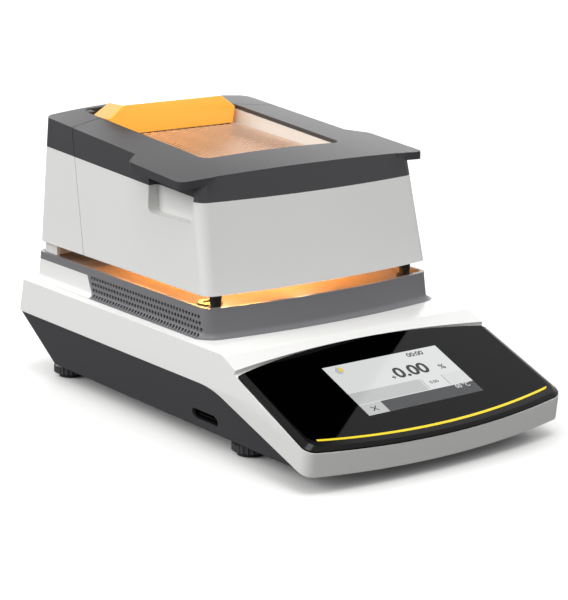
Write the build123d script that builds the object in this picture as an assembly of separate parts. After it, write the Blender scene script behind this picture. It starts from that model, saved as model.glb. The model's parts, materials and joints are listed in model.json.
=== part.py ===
from build123d import *
import os
from math import cos, radians, sin, tan
from typing import NamedTuple

# Moisture analyzer: a bench balance under a heated lid. Millimetres, +X right, -Y to the user, +Z up.
# The origin is on the floor under the middle of the footprint.


class Outline(NamedTuple):
    """A housing's outline seen from above: straight sides, bowed front and rear, rounded corners."""

    half_front: float
    half_rear: float
    front: float
    rear: float
    bow_front: float
    bow_rear: float
    round_front: float
    round_rear: float


# Base: outlines at three heights, and the sloped front
BASE_HALF = 110.0
BASE_FRONT = -179.8
BASE_REAR = 186.3
BASE_BOW_FRONT = 10.5
BASE_BOW_REAR = 4.0
BASE_CORNER = 9.0
FOOT_EDGE_Z = 10.0
BAND_Z = 47.2
SHOULDER_Z = 71.0
SHOULDER_INSET = 3.2
TOP_Z = 73.2
TOP_INSET = 8.4
FRONT_LEAN = 3.8
FRONT_RISE = 13.0
WALL = 3.0
SLOPE = 21.6
SLOPE_KNEE_Y = -76.2
SLOPE_BLEND = 50.0
SPLIT_SLOPE = 18.5
SPLIT_KNEE_Y = -74.1
SPLIT_BLEND = 86.0

# Lower tray
TRAY_REVEAL = 0.6
TRAY_FLOOR_Z = 11.3
TRAY_FLOOR_HALF = 100.9
TRAY_FLOOR_REAR = 152.0
TRAY_WALL = 2.6

# Display panel on the slope, measured from the top corners of the glass down the slope
PANEL_TOP_Y = -102.2
BEZEL_THICK = 3.2
BEZEL_BEVEL_W = 4.2
BEZEL_BEVEL_H = 2.0
GLASS_THICK = 1.6
GLASS_FRONT = -76.7
GLASS_TOP_BOW = 12.3
PANEL_HEAD_ROUND = 1.5
LINE_W = 2.2
LINE_THICK = 0.8
LINE_START = 5.0
LINE_END = 2.0
SCREEN_X = 2.0
SCREEN_S = -38.3
MODULE_W = 105.5
MODULE_H = 67.2
MODULE_THICK = 3.0

# Chamber collar
COLLAR_HALF = 97.0
COLLAR_FRONT = -50.5
COLLAR_REAR = 174.7
COLLAR_BOW = 9.0
COLLAR_CORNER = 9.0
COLLAR_TOP_Z = 93.5
COLLAR_DRAFT = 2.0
COLLAR_FLARE = 3.6
FLARE_STEPS = 4
COLLAR_WALL = 2.6
RIM_H = 5.5
GRILLE_REAR_Y = 97.5
GRILLE_TILT = 15.0
HOLE_PITCH = 3.7
HOLE_ROW = 4.1
HOLE_D = 2.8
HOLE_COLUMNS = 38
HOLE_ROWS = 4
HOLE_TOP_Z = 87.0
HOLE_FIRST_Y = 95.0

# Chamber floor, draft ring, pan
DECK_Z = 88.6
DECK_THICK = 1.2
CUP_R = 58.0
CUP_DEPTH = 9.0
PAN_Y = 50.0
PAN_R = 45.0
PAN_H = 4.0
PAN_FLOOR_Z = 86.2
PAN_SHEET = 0.6
CELL_TRAVEL = 0.6
CELL_Z = 16.0

# Lid and rear block share one tapered form
LID_Z = 101.6
LID_HALF = 96.9
LID_FRONT = -49.9
LID_REAR = 172.5
LID_BOW = 8.0
LID_CORNER = 9.0
LID_REF_Z = 205.0
LID_REF_HALF = 91.5
LID_REF_FRONT = -27.5
LID_REF_REAR = 166.6
LID_REF_BOW = 5.0
LID_WALL = 2.8
TOP_SLOPE = 4.83
TOP_Z0 = 181.5
CROWN = 3.0
BAND_SLOPE = 3.12
BAND_Z0 = 164.7
COVER_THICK = 3.0
SEAM_FOOT_Y = 106.5
SEAM_LEAN = 11.8
SEAM_BOW = 20.0
SEAM_GAP = 0.6

# Lips and finger pockets
LIP_HALF = 106.0
LIP_REAR = 32.5
LIP_SWEEP = 10.0
LIP_THICK = 5.6
LIP_CORNER = 13.0
POCKET_FRONT = -30.5
POCKET_REAR = 24.0
POCKET_FLOOR_Z = 147.5
POCKET_DEPTH = 11.0
CUP_WALL = 3.6
POCKET_ROUND = 5.0

# Well, screen and amber window
WELL_HALF = 60.0
WELL_FRONT = 4.8
WELL_CORNER = 7.0
NOTCH_REAR = 167.5
SCREEN_Z0 = 173.0
SCREEN_SLOPE = 3.3
LINER_WALL = 1.2
WINDOW_FRONT = 133.0
WINDOW_REAR = 157.0
WINDOW_TOP_Z = 203.5
WINDOW_TOP_HALF = 45.0
WINDOW_FOOT_HALF = 57.5
WINDOW_WALL = 2.4

# Hinge
HINGE_Y = 162.0
HINGE_Z = 192.4
PIN_R = 2.0
PIN_CLEARANCE = 0.06
KNUCKLE_R = 4.2
KNUCKLE_GAP = 0.4

# Heater in the lid
LINER_HALF = LID_HALF - POCKET_DEPTH - LID_WALL - 0.3
LINER_FRONT = -30.0
LINER_SHEET = 0.8
REFLECTOR_Z = 158.0
REFLECTOR_HALF = 66.0
TUBE_R = 5.0
TUBE_LENGTH = 118.0
TUBE_Z = 146.0
TUBE_SPREAD = 26.0
GRID_Z = 134.0
WIRE_R = 1.0

# Feet
FOOT_X = 85.5
FOOT_FRONT_Y = -85.5
FOOT_REAR_Y = 147.0
WHEEL_R = 13.3
WHEEL_H = 5.4
WHEEL_Z = 3.2
WHEEL_RIBS = 24
PAD_R = 9.5
PAD_H = 1.8
STUD_R = 3.4
STUD_TOP_Z = 24.0

# Ports and fan
PORT_Y = -57.0
PORT_Z = 21.2
PANEL_Y = 150.0
FAN_SIZE = 50.0
FAN_DEPTH = 12.0
HUB_T = 3.0
ROTOR_T = 7.0
FAN_Z = 140.0

# Small values used all over
TOUCH = 0.3
BIG = 400.0

# Helper values that follow from the sizes above
UP = (Align.CENTER, Align.CENTER, Align.MIN)
DOWN = (Align.CENTER, Align.CENTER, Align.MAX)
MID = (Align.CENTER, Align.CENTER, Align.CENTER)
FEET = [(-FOOT_X, FOOT_FRONT_Y), (FOOT_X, FOOT_FRONT_Y), (-FOOT_X, FOOT_REAR_Y), (FOOT_X, FOOT_REAR_Y)]
FOOT_NAMES = ["front_left", "front_right", "rear_left", "rear_right"]
SCREWS = [(-60, -120), (60, -120), (-60, 120), (60, 120)]
SCREW_R = 3.0
SCREW_H = 1.6
BOSS_R = 8.0
BOSS_FOOT = 9.0
INSERT_R = 5.5
PANEL_HALF = 46.0
PANEL_THICK = 1.6
PANEL_LOW = 15.5
PANEL_HIGH = 44.0
PORT_W = 30.0
PORT_H = 8.0
PORT_DEPTH = 12.0
PORT_FACE_X = -101.0
LEDGE_W = 5.0
LEDGE_H = 2.0
GRILLE_STEP = HOLE_PITCH / 2
STEM_HOLE_R = 8.0
STEM_R = 5.0
LEVEL_AT = (-74.0, -22.0)
LEVEL_R = 7.0
LEVEL_H = 7.0
RING_H = 8.0
CARRIER_R = 30.0
HOLDER_R = 36.0
HOLDER_H = 1.6
CELL_TOP_Z = 62.0
CELL_HALF = 16.0
BOARD_LIFT = 5.0
INLET_X = -24.0
INLET_W = 27.0
INLET_H = 20.0
INLET_Z = 30.0
DATA_X = 22.0
DATA_W = 16.0
DATA_H = 12.0
BUMPER_X = 83.0
BUMPER_Y = -41.0
BUMPER_R = 4.6
SEAT_R = 5.6
SEAT_H = 3.0
NECK_Y = 150.0
KNUCKLE_X = 22.0
KNUCKLE_W = 14.0
SCREEN_THICK = 0.8
SCREEN_SLOTS = 19
SCREEN_PITCH = 5.6
HEAT_Y = 42.0
GRID_WIRES = 8


def inset(o, by):
    """The outline moved inwards by the same amount all round."""
    return Outline(o.half_front - by, o.half_rear - by, o.front + by, o.rear - by, o.bow_front, o.bow_rear,
                   max(o.round_front - by, 0.8), max(o.round_rear - by, 0.8))


def blend(a, b, share):
    """The outline that lies between two others."""
    return Outline(*(p + (q - p) * share for p, q in zip(a, b)))


def face_of(o, z=0.0):
    """The outline as a flat face at height z."""
    front = [(-o.half_front, o.front), (o.half_front, o.front)]
    corners = front + [(o.half_rear, o.rear), (-o.half_rear, o.rear)]
    edges = [
        ThreePointArc(corners[0], (0, o.front - o.bow_front), corners[1]),
        Line(corners[1], corners[2]),
        ThreePointArc(corners[2], (0, o.rear + o.bow_rear), corners[3]),
        Line(corners[3], corners[0]),
    ]
    face = make_face(edges)
    ends = face.vertices().group_by(Axis.Y)
    face = fillet(ends[0], o.round_front)
    rear = [v for v in face.vertices() if abs(v.Y - o.rear) < 1e-4 and abs(abs(v.X) - o.half_rear) < 1e-4]
    face = fillet(rear, o.round_rear)
    return Pos(0, 0, z) * face


def tower(*levels):
    """A solid through outlines given as (outline, height) pairs, with straight sides between them."""
    return loft([face_of(o, z) for o, z in levels], ruled=True)


def block(x0, x1, y0, y1, z0, z1):
    """A box between two corners."""
    return Pos((x0 + x1) / 2, (y0 + y1) / 2, (z0 + z1) / 2) * Box(x1 - x0, y1 - y0, z1 - z0)


def slab_below(z0, slope, drop=0.0):
    """Everything below a plane that rises to the rear."""
    size = 3 * BIG
    low = Box(size, size, BIG, align=(Align.CENTER, Align.CENTER, Align.MAX))
    return Pos(0, 0, z0) * Rot(slope, 0, 0) * Pos(0, 0, -drop) * low


def mirrored(piece):
    """The piece and its copy on the other side, as separate solids."""
    return [piece, mirror(piece, about=Plane.YZ)]


def along_x(face, half=BIG / 2):
    """A side profile, drawn as (y, z), drawn out to both sides."""
    return extrude(Plane.YZ * face, amount=half, both=True)


def closed(*lines):
    return make_face([e for line in lines for e in line.edges()])


# Outlines of the base, the collar and the lid
BAND = Outline(BASE_HALF, BASE_HALF, BASE_FRONT, BASE_REAR, BASE_BOW_FRONT, BASE_BOW_REAR, BASE_CORNER,
               BASE_CORNER)
FOOT_EDGE = BAND._replace(front=BASE_FRONT + FRONT_LEAN)
SHOULDER = inset(BAND, SHOULDER_INSET)._replace(front=BASE_FRONT)
TOP = inset(BAND, TOP_INSET)._replace(front=BASE_FRONT)
COLLAR = Outline(COLLAR_HALF, COLLAR_HALF, COLLAR_FRONT, COLLAR_REAR, COLLAR_BOW, COLLAR_BOW / 2,
                 COLLAR_CORNER, COLLAR_CORNER)
LID_FOOT = Outline(LID_HALF, LID_HALF, LID_FRONT, LID_REAR, LID_BOW, LID_BOW, LID_CORNER, LID_CORNER)
LID_HEAD = Outline(LID_REF_HALF, LID_REF_HALF, LID_REF_FRONT, LID_REF_REAR, LID_REF_BOW, LID_BOW, LID_CORNER,
                   LID_CORNER)


def lid_at(z, by=0.0):
    """The lid's outline at a height, moved inwards by a wall."""
    return inset(blend(LID_FOOT, LID_HEAD, (z - LID_Z) / (LID_REF_Z - LID_Z)), by)


def top_z(y):
    """Height of the lid's top plane, without its crown."""
    return TOP_Z0 + y * tan(radians(TOP_SLOPE))


def screen_z(y):
    """Height of the perforated screen in the well."""
    return SCREEN_Z0 + y * tan(radians(SCREEN_SLOPE))


def split_z(y):
    """Height of the line where cover and tray meet, in front of its knee."""
    return BAND_Z + (y - SPLIT_KNEE_Y) * tan(radians(SPLIT_SLOPE))


def slope_plane(depth=0.0):
    """The display's plane, at a depth under the glass: x to the right, y up the slope."""
    z = TOP_Z + (PANEL_TOP_Y - SLOPE_KNEE_Y) * tan(radians(SLOPE))
    up = (0, -sin(radians(SLOPE)), cos(radians(SLOPE)))
    return Plane(origin=(0, PANEL_TOP_Y, z), x_dir=(1, 0, 0), z_dir=up).offset(-depth)


def under_split():
    """Space under the line where cover and tray meet."""
    far = -BIG
    line = FilletPolyline((far, split_z(far)), (SPLIT_KNEE_Y, BAND_Z), (BIG, BAND_Z), radius=SPLIT_BLEND)
    return along_x(closed(line, Polyline((BIG, BAND_Z), (BIG, -BIG), (far, -BIG), (far, split_z(far)))))


def under_top(drop=0.0, rise=0.0):
    """Space under the base's top and its slope, lowered square to the slope."""
    far = -BIG
    knee_y = SLOPE_KNEE_Y + drop * tan(radians(SLOPE / 2))
    end_z = TOP_Z - drop + (far - knee_y) * tan(radians(SLOPE))
    bend = SLOPE_BLEND - drop
    line = FilletPolyline((far, end_z), (knee_y, TOP_Z - drop), (BIG, TOP_Z - drop), radius=bend)
    return along_x(closed(line, Polyline((BIG, TOP_Z - drop), (BIG, -BIG), (far, -BIG), (far, end_z))))


def panel_outline(side=0.0, front=0.0):
    """The display panel's outline on the slope."""
    lean = cos(radians(SLOPE))
    low = (BASE_FRONT - PANEL_TOP_Y) / lean
    head_z = TOP_Z + (PANEL_TOP_Y - SLOPE_KNEE_Y) * tan(radians(SLOPE))
    head = BASE_HALF - SHOULDER_INSET * (head_z - BAND_Z) / (SHOULDER_Z - BAND_Z)
    return Outline(BASE_HALF - side, head - side, low + front, 0.0, BASE_BOW_FRONT / lean, GLASS_TOP_BOW,
                   BASE_CORNER, PANEL_HEAD_ROUND)


def base_form():
    """The base's whole outer form, before it is split."""
    low = [(FOOT_EDGE, FOOT_EDGE_Z - 6), (BAND, BAND_Z - FRONT_RISE), (BAND, BAND_Z)]
    return tower(*low, (SHOULDER, SHOULDER_Z), (TOP, TOP_Z)) & under_top()


def base_cavity():
    """The hollow inside cover and tray walls, above the split."""
    foot = inset(FOOT_EDGE, WALL)._replace(half_front=TRAY_FLOOR_HALF, half_rear=TRAY_FLOOR_HALF)
    head = inset(SHOULDER, WALL)
    body = tower((foot, FOOT_EDGE_Z - 7), (inset(BAND, WALL), BAND_Z), (head, TOP_Z - WALL))
    return body & under_top(drop=BEZEL_THICK + WALL)


def collar_form(by=0.0):
    """The collar's tapered wall, without its flared foot."""
    foot = inset(COLLAR, by - COLLAR_DRAFT)
    return tower((foot, TOP_Z), (inset(COLLAR, by), COLLAR_TOP_Z))


def collar_skirt():
    """The collar's wall with its foot flared out in a quarter round."""
    levels = []
    for step in range(FLARE_STEPS + 1):
        turn = radians(90 * step / FLARE_STEPS)
        rise = COLLAR_FLARE * (1 - cos(turn))
        draft = COLLAR_DRAFT * (1 - rise / (COLLAR_TOP_Z - TOP_Z))
        levels.append((inset(COLLAR, -draft - COLLAR_FLARE * (1 - sin(turn))), TOP_Z + rise))
    return tower(*levels, (COLLAR, COLLAR_TOP_Z))


def behind_grille():
    """Space behind the grille, under the collar's rim."""
    foot_y = GRILLE_REAR_Y - RIM_H * tan(radians(GRILLE_TILT))
    top = COLLAR_TOP_Z - RIM_H
    low_y = foot_y - (top - TOP_Z) * tan(radians(GRILLE_TILT))
    profile = Polyline((GRILLE_REAR_Y + 4, top), (BIG, top), (BIG, 0), (low_y, 0), (low_y, TOP_Z),
                       (GRILLE_REAR_Y + 4, top))
    return along_x(make_face(profile.edges()))


def base_cover():
    """White upper shell: sloped front, shoulder, and the cove that rises to the collar's rim."""
    wide = panel_outline(-20, -20)._replace(round_rear=0.8)
    recess = slope_plane(BEZEL_THICK) * extrude(face_of(wide), amount=60)
    window = slope_plane() * Pos(SCREEN_X, SCREEN_S, 0) * Box(MODULE_W + 1, MODULE_H + 1, 60)
    shell = base_form() - under_split() - base_cavity() - recess - window
    shell -= extrude(face_of(inset(COLLAR, COLLAR_WALL + 6), TOP_Z - 10), amount=20)
    cove = (collar_skirt() - collar_form(COLLAR_WALL)) & behind_grille()
    return shell + cove


def port_plane(x):
    """A plane across the side socket, which faces out to the left."""
    return Plane(origin=(x, PORT_Y, PORT_Z), x_dir=(0, -1, 0), z_dir=(-1, 0, 0))


def base_tray():
    """Dark lower housing: floor, sloping walls, foot bosses and the recess for the sockets."""
    floor = BAND._replace(half_front=TRAY_FLOOR_HALF, half_rear=TRAY_FLOOR_HALF, front=BASE_FRONT + 7.3,
                          rear=TRAY_FLOOR_REAR)
    rim = inset(BAND, TRAY_REVEAL)._replace(front=BASE_FRONT + 7.0)
    outer = tower((floor, TRAY_FLOOR_Z), (rim, BAND_Z)) & under_split()
    hollow = tower((inset(floor, TRAY_WALL), TRAY_FLOOR_Z + TRAY_WALL), (inset(rim, TRAY_WALL), BAND_Z + 1))
    tray = outer - hollow
    for x, y in FEET:
        boss = Pos(x, y, TRAY_FLOOR_Z + 1) * Cylinder(BOSS_R, STUD_TOP_Z - TRAY_FLOOR_Z - 1, align=UP)
        low = block(-BASE_HALF, BASE_HALF, -BASE_REAR, BASE_REAR, TRAY_FLOOR_Z, TRAY_FLOOR_Z + BOSS_FOOT)
        tray += boss & (outer + low)
    for x, y in FEET:
        tray -= Pos(x, y, 0) * Cylinder(INSERT_R, BIG, align=UP)
    for x, y in SCREWS:
        tray -= Pos(x, y, 0) * Cylinder(SCREW_R + TOUCH, TRAY_FLOOR_Z + SCREW_H, align=UP)
    tray -= block(-PANEL_HALF, PANEL_HALF, PANEL_Y, BIG, PANEL_LOW, PANEL_HIGH)
    hood = block(-PANEL_HALF - 2, PANEL_HALF + 2, PANEL_Y - 4, BIG, PANEL_LOW - 2, PANEL_HIGH + 2)
    hood -= block(-PANEL_HALF, PANEL_HALF, PANEL_Y, BIG, PANEL_LOW, PANEL_HIGH)
    hood -= block(-PANEL_HALF + 2, PANEL_HALF - 2, 0, BIG, PANEL_LOW + 2, PANEL_HIGH - 2)
    tray += hood & outer
    return tray - extrude(port_plane(-BASE_HALF) * SlotOverall(PORT_W, PORT_H), amount=-40)


def slope_prism(outline, low, high):
    """A plate on the slope between two depths under the glass."""
    return extrude(slope_plane(low) * face_of(outline), amount=low - high)


def display_bezel():
    """Black frame round the display glass, bevelled at its sides and front."""
    full = panel_outline(TOUCH / 2, TOUCH / 2)
    low = slope_prism(full, BEZEL_THICK, BEZEL_BEVEL_H)
    head = full._replace(half_front=full.half_front - BEZEL_BEVEL_W, half_rear=full.half_rear - BEZEL_BEVEL_W,
                         front=full.front + BEZEL_BEVEL_H)
    high = loft([slope_plane(BEZEL_BEVEL_H) * face_of(full), slope_plane() * face_of(head)], ruled=True)
    frame = low + high - slope_prism(glass_outline()._replace(rear=1.0), GLASS_THICK, -1)
    window = slope_plane() * Pos(SCREEN_X, SCREEN_S, 0) * Box(MODULE_W + 1, MODULE_H + 1, 60)
    return frame - window


def glass_outline():
    full = panel_outline()
    side = BEZEL_BEVEL_W + 0.6
    return full._replace(half_front=full.half_front - side - 2, half_rear=full.half_rear - side,
                         front=GLASS_FRONT, round_front=full.round_front - 1, round_rear=1.0)


def display_glass():
    """Black display glass, cut back along its front edge for the coloured line."""
    body = inset(glass_outline(), 0.1)
    return slope_prism(body, GLASS_THICK, 0) - accent_strip()


def accent_strip():
    """Thin coloured line along the front edge of the glass."""
    body = inset(glass_outline(), 0.1)
    rear = body._replace(half_front=2 * body.half_front, half_rear=2 * body.half_rear,
                         front=body.front + 3 * body.bow_front + LINE_W, rear=body.rear + 2 * body.bow_rear,
                         bow_front=4 * body.bow_front, round_front=1)
    line = slope_prism(body, LINE_THICK, 0) - slope_prism(rear, BEZEL_THICK, -BEZEL_THICK)
    return line & block(-body.half_front + LINE_START, body.half_front - LINE_END, -BIG, 0, 0, BIG)


def on_slope(width, height, low, high, x=SCREEN_X, s=SCREEN_S):
    """A rectangular plate behind the glass, between two depths."""
    plate = Box(width, height, high - low, align=(Align.CENTER, Align.CENTER, Align.MAX))
    return slope_plane(low) * Pos(x, s, 0) * plate


def lcd_module():
    return on_slope(MODULE_W, MODULE_H, GLASS_THICK, GLASS_THICK + MODULE_THICK)


def display_board():
    """Circuit board behind the module, on four spacers."""
    depth = GLASS_THICK + MODULE_THICK
    board = on_slope(MODULE_W - 8, MODULE_H - 8, depth + 2, depth + 3.6)
    for sx in (-1, 1):
        for sy in (-1, 1):
            board += on_slope(5, 5, depth, depth + 2, SCREEN_X + sx * 42, SCREEN_S + sy * 24)
    return board


def chamber_collar():
    """Grey collar round the chamber: rim, flared foot and a perforated grille on both sides."""
    ring = collar_skirt() - collar_form(COLLAR_WALL)
    ring -= behind_grille()
    seat = inset(COLLAR, COLLAR_WALL - COLLAR_DRAFT / 2)
    ledge = extrude(face_of(seat, DECK_Z - DECK_THICK - LEDGE_H), amount=LEDGE_H)
    ledge -= extrude(face_of(inset(COLLAR, COLLAR_WALL + LEDGE_W), 0), amount=BIG)
    ring += ledge - behind_grille()
    return ring - grille_holes()


def grille_holes():
    """Staggered rows of six-sided holes through both side walls."""
    hole = RegularPolygon(HOLE_D / 2, 6)
    places = []
    for row in range(HOLE_ROWS):
        shift = row * GRILLE_STEP
        count = HOLE_COLUMNS - (row == HOLE_ROWS - 1)
        for column in range(count):
            places.append(Pos(HOLE_FIRST_Y - shift - column * HOLE_PITCH, HOLE_TOP_Z - row * HOLE_ROW) * hole)
    return extrude(Plane.YZ * Sketch(children=places), amount=BIG / 2, both=True)


def chamber_floor():
    """Pressed steel floor of the chamber, with a round cup under the pan."""
    rim = inset(COLLAR, COLLAR_WALL + TOUCH)
    plate = extrude(face_of(rim, DECK_Z - DECK_THICK), amount=DECK_THICK)
    cup = Pos(0, PAN_Y, DECK_Z - CUP_DEPTH) * Cylinder(CUP_R, CUP_DEPTH, align=UP)
    cup -= Pos(0, PAN_Y, DECK_Z - CUP_DEPTH + DECK_THICK) * Cylinder(CUP_R - DECK_THICK, CUP_DEPTH, align=UP)
    plate -= Pos(0, PAN_Y, 0) * Cylinder(CUP_R - DECK_THICK, BIG, align=UP)
    plate += cup
    plate -= Pos(0, PAN_Y, 0) * Cylinder(STEM_HOLE_R, BIG, align=UP)
    plate -= Pos(*LEVEL_AT, 0) * Cylinder(LEVEL_R + 0.2, BIG, align=UP)
    return plate


def draft_ring():
    """Steel ring that keeps air currents off the pan."""
    outer = CUP_R - DECK_THICK - 1
    ring = Cylinder(outer, RING_H, align=UP) - Cylinder(outer - 1, RING_H, align=UP)
    return Pos(0, PAN_Y, DECK_Z - CUP_DEPTH + DECK_THICK) * ring


def level_vial():
    """Spirit level: a cup with a flange on the chamber floor."""
    cup = Cylinder(LEVEL_R, LEVEL_H, align=DOWN) + Cylinder(LEVEL_R + 1.5, 1.2, align=UP)
    cup -= Pos(0, 0, -2) * Cylinder(LEVEL_R - 1.5, BIG, align=UP)
    return Pos(*LEVEL_AT, DECK_Z) * (cup + Pos(0, 0, -2) * Cylinder(LEVEL_R - 1.5, 2.4, align=UP))


def pan_carrier():
    """Cross that carries the pan holder, on the stem of the weigh cell."""
    arm = Box(2 * CARRIER_R, 5, 2, align=DOWN)
    cross = arm + Rot(0, 0, 90) * arm
    length = PAN_FLOOR_Z - HOLDER_H - CELL_TOP_Z - 2 - CELL_TRAVEL - 0.4
    stem = Pos(0, 0, -2) * Cylinder(STEM_R, length, align=DOWN)
    return Pos(0, PAN_Y, PAN_FLOOR_Z - HOLDER_H - TOUCH) * (cross + stem)


def pan_holder():
    """Ring with spokes and a flat handle, to lift the pan by."""
    ring = Cylinder(HOLDER_R, HOLDER_H, align=DOWN) - Cylinder(HOLDER_R - 5, BIG, align=MID)
    bar = Box(2 * HOLDER_R - 4, 5, HOLDER_H, align=(Align.CENTER, Align.CENTER, Align.MAX))
    return Pos(0, PAN_Y, PAN_FLOOR_Z) * (ring + bar + Rot(0, 0, 90) * bar)


def sample_pan():
    """Round foil pan with a rolled rim."""
    rim = Pos(0, 0, PAN_H - PAN_SHEET) * Cylinder(PAN_R + 1.5, PAN_SHEET, align=UP)
    outer = Cone(PAN_R - 2, PAN_R, PAN_H, align=UP) + rim
    inner = Pos(0, 0, PAN_SHEET) * Cone(PAN_R - 2 - PAN_SHEET, PAN_R - PAN_SHEET, PAN_H, align=UP)
    return Pos(0, PAN_Y, PAN_FLOOR_Z) * (outer - inner)


def weigh_cell():
    """One-piece bending-beam cell: a block with slots that form its parallel guide."""
    body = block(-CELL_HALF, CELL_HALF, PAN_Y - 12, PAN_Y + 62, CELL_Z, CELL_TOP_Z)
    for z in (CELL_Z + 9, CELL_TOP_Z - 9):
        body -= block(-BIG, BIG, PAN_Y + 4, PAN_Y + 46, z - 1, z + 1)
    body -= block(-BIG, BIG, PAN_Y + 10, PAN_Y + 40, CELL_Z + 9, CELL_TOP_Z - 9)
    return body


def cell_bracket():
    """Plate that fastens the fixed end of the cell to the tray."""
    plate = block(-CELL_HALF - 12, CELL_HALF + 12, PAN_Y + 44, PAN_Y + 74, TRAY_FLOOR_Z + TRAY_WALL, CELL_Z)
    ear = block(-CELL_HALF - 3, -CELL_HALF, PAN_Y + 48, PAN_Y + 62, CELL_Z - 1, CELL_Z + 20)
    return plate + ear + mirror(ear, about=Plane.YZ)


def board_with_parts(x0, x1, y0, y1, floor, parts):
    """A circuit board on spacers, with its tall parts as (x, y, width, depth, height)."""
    z = floor + BOARD_LIFT
    board = block(x0, x1, y0, y1, z, z + 1.6)
    for x in (x0 + 5, x1 - 5):
        for y in (y0 + 5, y1 - 5):
            board += Pos(x, y, floor) * Cylinder(2.5, BOARD_LIFT, align=UP)
    for x, y, w, d, h in parts:
        board += block(x - w / 2, x + w / 2, y - d / 2, y + d / 2, z + 1.6, z + 1.6 + h)
    return board


def main_board():
    parts = [(0, -20, 22, 22, 2.5), (-32, -34, 12, 10, 6), (34, -8, 18, 12, 8), (-34, 0, 10, 18, 4),
             (30, -36, 8, 8, 5)]
    return board_with_parts(-55, 55, -52, 18, TRAY_FLOOR_Z + TRAY_WALL, parts)


def power_board():
    parts = [(-70, 96, 14, 30, 20), (-70, 64, 14, 16, 14), (-72, 44, 9, 9, 16)]
    return board_with_parts(-84, -56, 30, 118, TRAY_FLOOR_Z + TRAY_WALL, parts)


def inlet_block(by, y0, y1):
    """A block with the mains inlet's outline, moved inwards."""
    half_w, half_h = INLET_W / 2 - by, INLET_H / 2 - by
    return block(INLET_X - half_w, INLET_X + half_w, y0, y1, INLET_Z - half_h, INLET_Z + half_h)


def data_block(by, y0, y1):
    """A block with the data socket's outline, moved inwards."""
    half_w, half_h = DATA_W / 2 - by, DATA_H / 2 - by
    return block(DATA_X - half_w, DATA_X + half_w, y0, y1, INLET_Z - half_h, INLET_Z + half_h)


def socket_panel():
    """Panel at the back of the recess, which carries the sockets."""
    half = PANEL_HALF - TOUCH
    plate = block(-half, half, PANEL_Y, PANEL_Y + PANEL_THICK, PANEL_LOW + TOUCH, PANEL_HIGH - TOUCH)
    return plate - inlet_block(0, 0, BIG) - data_block(0, 0, BIG)


def power_inlet():
    """Mains inlet: flanged body with a socket and three flat pins."""
    face = PANEL_Y + PANEL_THICK
    body = inlet_block(0, PANEL_Y - 20, face) + inlet_block(-1.2, face, face + 1.6)
    body -= inlet_block(1.5, PANEL_Y - 14, BIG)
    for x, z in ((-7, -1), (0, 2), (7, -1)):
        body += Pos(INLET_X + x, PANEL_Y - 8.5, INLET_Z + z) * Box(2, 13, 4)
    return body


def rear_port():
    """Data socket: a shell with a tongue inside."""
    body = data_block(0, PANEL_Y - 12, PANEL_Y + 2.4) - data_block(1, PANEL_Y - 9, BIG)
    return body + Pos(DATA_X, PANEL_Y - 5, INLET_Z + 1.25) * Box(DATA_W - 4, 10, 1.5)


def side_port():
    """Oblong data socket in the tray's left side."""
    place = port_plane(PORT_FACE_X)
    full = extrude(place * SlotOverall(PORT_W - 2 * TOUCH, PORT_H - 2 * TOUCH), amount=-PORT_DEPTH)
    body = full - extrude(place * SlotOverall(PORT_W - 4, PORT_H - 4), amount=-PORT_DEPTH + 3)
    return body + extrude(place * Rectangle(PORT_W - 10, 1.6), amount=-PORT_DEPTH + 1) & full


def bumper_seats():
    """Dark seats on the collar's ledge that the lid's bumpers rest on."""
    seat = Pos(BUMPER_X, BUMPER_Y, DECK_Z) * (Cylinder(SEAT_R, SEAT_H, align=UP))
    return mirrored(seat)


def lid_bumpers():
    """Tapered rubber bumpers under the lid's front corners."""
    low = DECK_Z + SEAT_H + TOUCH
    bumper = Pos(BUMPER_X, BUMPER_Y, low) * Cone(BUMPER_R - 1, BUMPER_R, LID_Z + 1 - low, align=UP)
    post = Pos(BUMPER_X, BUMPER_Y, LID_Z + 1) * Cylinder(2.5, 6, align=UP)
    return mirrored(bumper + post)


def crown_above():
    """Everything over the lid's crowned top."""
    half = LID_HALF + 20
    drop = CROWN * (half / LID_REF_HALF) ** 2
    arc = ThreePointArc((-half, -drop + CROWN), (0, CROWN), (half, -drop + CROWN))
    frame = Polyline((half, -drop + CROWN), (half, BIG), (-half, BIG), (-half, -drop + CROWN))
    lean = radians(TOP_SLOPE)
    place = Plane(origin=(0, 0, TOP_Z0), x_dir=(1, 0, 0), z_dir=(0, -cos(lean), -sin(lean)))
    return extrude(place * closed(arc, frame), amount=BIG, both=True)


def lid_form(by=0.0, low=LID_Z, roof=0.0):
    """Lid and rear block as one form, moved inwards by a wall and under a roof."""
    body = tower((lid_at(low, by), low), (lid_at(LID_REF_Z, by), LID_REF_Z))
    return body - Pos(0, 0, -roof) * crown_above()


def below_band():
    return slab_below(BAND_Z0, BAND_SLOPE)


def behind_seam(gap=0.0):
    """Space behind the leaning seam between lid and rear block."""
    half = LID_HALF + 30
    bow = SEAM_BOW * (half / LID_HALF) ** 2
    y = SEAM_FOOT_Y + SEAM_BOW + gap
    arc = ThreePointArc((-half, y - bow), (0, y), (half, y - bow))
    back = Polyline((half, y - bow), (half, BIG), (-half, BIG), (-half, y - bow))
    low = 60.0
    lean = Vector(0, sin(radians(SEAM_LEAN)), cos(radians(SEAM_LEAN)))
    start = Pos(0, (low - LID_Z) * tan(radians(SEAM_LEAN)), low) * closed(arc, back)
    return extrude(start, amount=BIG, dir=lean)


def well_cut(low, high, by=0.0):
    """The well's opening, which runs on into the notch for the amber window."""
    face = Rectangle(2 * (WELL_HALF - by), NOTCH_REAR - WELL_FRONT - 2 * by)
    face = fillet(face.vertices(), max(WELL_CORNER - by, 1))
    return Pos(0, (NOTCH_REAR + WELL_FRONT) / 2, low) * extrude(face, amount=high - low)


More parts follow.
